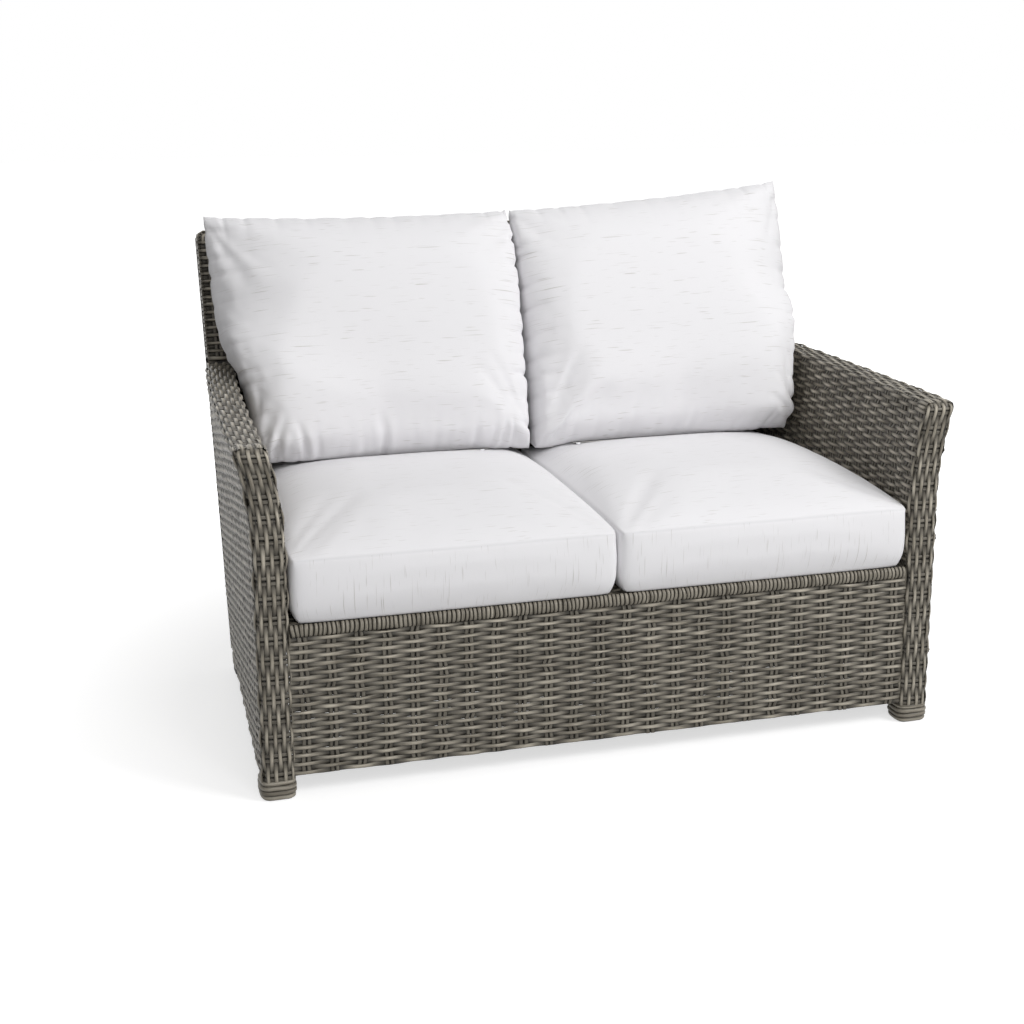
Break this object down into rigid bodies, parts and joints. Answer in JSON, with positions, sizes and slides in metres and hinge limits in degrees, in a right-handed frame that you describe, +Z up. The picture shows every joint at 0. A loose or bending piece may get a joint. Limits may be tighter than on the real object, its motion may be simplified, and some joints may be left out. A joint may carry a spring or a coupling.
{
  "type": "patio loveseat",
  "caption": "Two-seat patio loveseat: tube frame skinned in woven resin strand, flared arms, raked back, box seat cushions and loose knife-edge back cushions with zipped covers.",
  "frame": {"origin": "on the floor under the middle of the loveseat", "axes": "+X to the right as seen from the front, +Y towards the back, +Z up"},
  "size_m": [1.295, 0.838, 0.9319],
  "materials": {
    "resin_wicker": "satin woven strand",
    "frame_tube": "powder coat",
    "glide": "moulded",
    "screw": "plated",
    "cushion_fabric": "slub weave",
    "cushion_fill": "soft fill",
    "zip_tape": "moulded coil",
    "zip_metal": "plated"
  },
  "bodies": {
    "loveseat_frame": {"apron_edge_roll": "resin_wicker", "back_inner_weave": "resin_wicker", "back_outer_weave": "resin_wicker", "back_top_wrap": "resin_wicker", "front_apron_weave": "resin_wicker", "rear_foot_wraps": "resin_wicker", "seat_deck_weave": "resin_wicker", "arm_inner_weave_left": "resin_wicker", "arm_inner_weave_right": "resin_wicker", "arm_outer_weave_left": "resin_wicker", "arm_outer_weave_right": "resin_wicker", "arm_top_wrap_left": "resin_wicker", "arm_top_wrap_right": "resin_wicker", "back_side_wrap_left": "resin_wicker", "back_side_wrap_right": "resin_wicker", "front_post_wrap_left": "resin_wicker", "front_post_wrap_right": "resin_wicker", "apron_stakes": "frame_tube", "back_stakes": "frame_tube", "back_top_rail": "frame_tube", "base_front_rail": "frame_tube", "base_rear_rail": "frame_tube", "seat_center_bearer": "frame_tube", "seat_front_rail": "frame_tube", "seat_rear_rail": "frame_tube", "seat_slats": "frame_tube", "arm_stakes_left": "frame_tube", "arm_stakes_right": "frame_tube", "arm_top_rail_left": "frame_tube", "arm_top_rail_right": "frame_tube", "base_side_rail_left": "frame_tube", "base_side_rail_right": "frame_tube", "front_post_tube_left": "frame_tube", "front_post_tube_right": "frame_tube", "rear_post_tube_left": "frame_tube", "rear_post_tube_right": "frame_tube", "seat_side_rail_left": "frame_tube", "seat_side_rail_right": "frame_tube", "foot_glides": "glide", "foot_glide_screws": "screw"},
    "seat_cushion_left": {"seat_cushion_cover_left": "cushion_fabric", "seat_cushion_foam_left": "cushion_fill", "seat_zip_chain_left": "zip_tape"},
    "seat_zip_slider_left": {"seat_zip_slider_left": "zip_metal"},
    "seat_zip_pull_left": {"seat_zip_pull_left": "zip_metal"},
    "back_cushion_left": {"back_cushion_cover_left": "cushion_fabric", "back_cushion_fill_left": "cushion_fill", "back_zip_chain_left": "zip_tape"},
    "back_zip_slider_left": {"back_zip_slider_left": "zip_metal", "back_zip_pull_left": "zip_metal"},
    "seat_cushion_right": {"seat_cushion_cover_right": "cushion_fabric", "seat_cushion_foam_right": "cushion_fill", "seat_zip_chain_right": "zip_tape"},
    "seat_zip_slider_right": {"seat_zip_slider_right": "zip_metal"},
    "seat_zip_pull_right": {"seat_zip_pull_right": "zip_metal"},
    "back_cushion_right": {"back_cushion_cover_right": "cushion_fabric", "back_cushion_fill_right": "cushion_fill", "back_zip_chain_right": "zip_tape"},
    "back_zip_slider_right": {"back_zip_slider_right": "zip_metal", "back_zip_pull_right": "zip_metal"}
  },
  "joints": [
    {"name": "seat_cushion_left_lift", "type": "slide", "parent": "loveseat_frame", "child": "seat_cushion_left", "axis": [0, 0, 1], "range_m": [0, 0.15]},
    {"name": "back_cushion_left_lift", "type": "slide", "parent": "seat_cushion_left", "child": "back_cushion_left", "axis": [0, 0, 1], "range_m": [0, 0.2]},
    {"name": "seat_zip_left_open", "type": "slide", "parent": "seat_cushion_left", "child": "seat_zip_slider_left", "axis": [1, 0, 0], "range_m": [0, 0.4]},
    {"name": "seat_zip_pull_left_swing", "type": "hinge", "parent": "seat_zip_slider_left", "child": "seat_zip_pull_left", "pos_m": [-0.46731, 0.24189, 0.3588], "axis": [0, 0, 1], "range_deg": [0, 150]},
    {"name": "back_zip_left_open", "type": "slide", "parent": "back_cushion_left", "child": "back_zip_slider_left", "axis": [-1, 0, 0], "range_m": [0, 0.31]},
    {"name": "seat_cushion_right_lift", "type": "slide", "parent": "loveseat_frame", "child": "seat_cushion_right", "axis": [0, 0, 1], "range_m": [0, 0.15]},
    {"name": "back_cushion_right_lift", "type": "slide", "parent": "seat_cushion_right", "child": "back_cushion_right", "axis": [0, 0, 1], "range_m": [0, 0.2]},
    {"name": "seat_zip_right_open", "type": "slide", "parent": "seat_cushion_right", "child": "seat_zip_slider_right", "axis": [-1, 0, 0], "range_m": [0, 0.4]},
    {"name": "seat_zip_pull_right_swing", "type": "hinge", "parent": "seat_zip_slider_right", "child": "seat_zip_pull_right", "pos_m": [0.47531, 0.24189, 0.3588], "axis": [0, 0, -1], "range_deg": [0, 150]},
    {"name": "back_zip_right_open", "type": "slide", "parent": "back_cushion_right", "child": "back_zip_slider_right", "axis": [1, 0, 0], "range_m": [0, 0.31]}
  ]
}
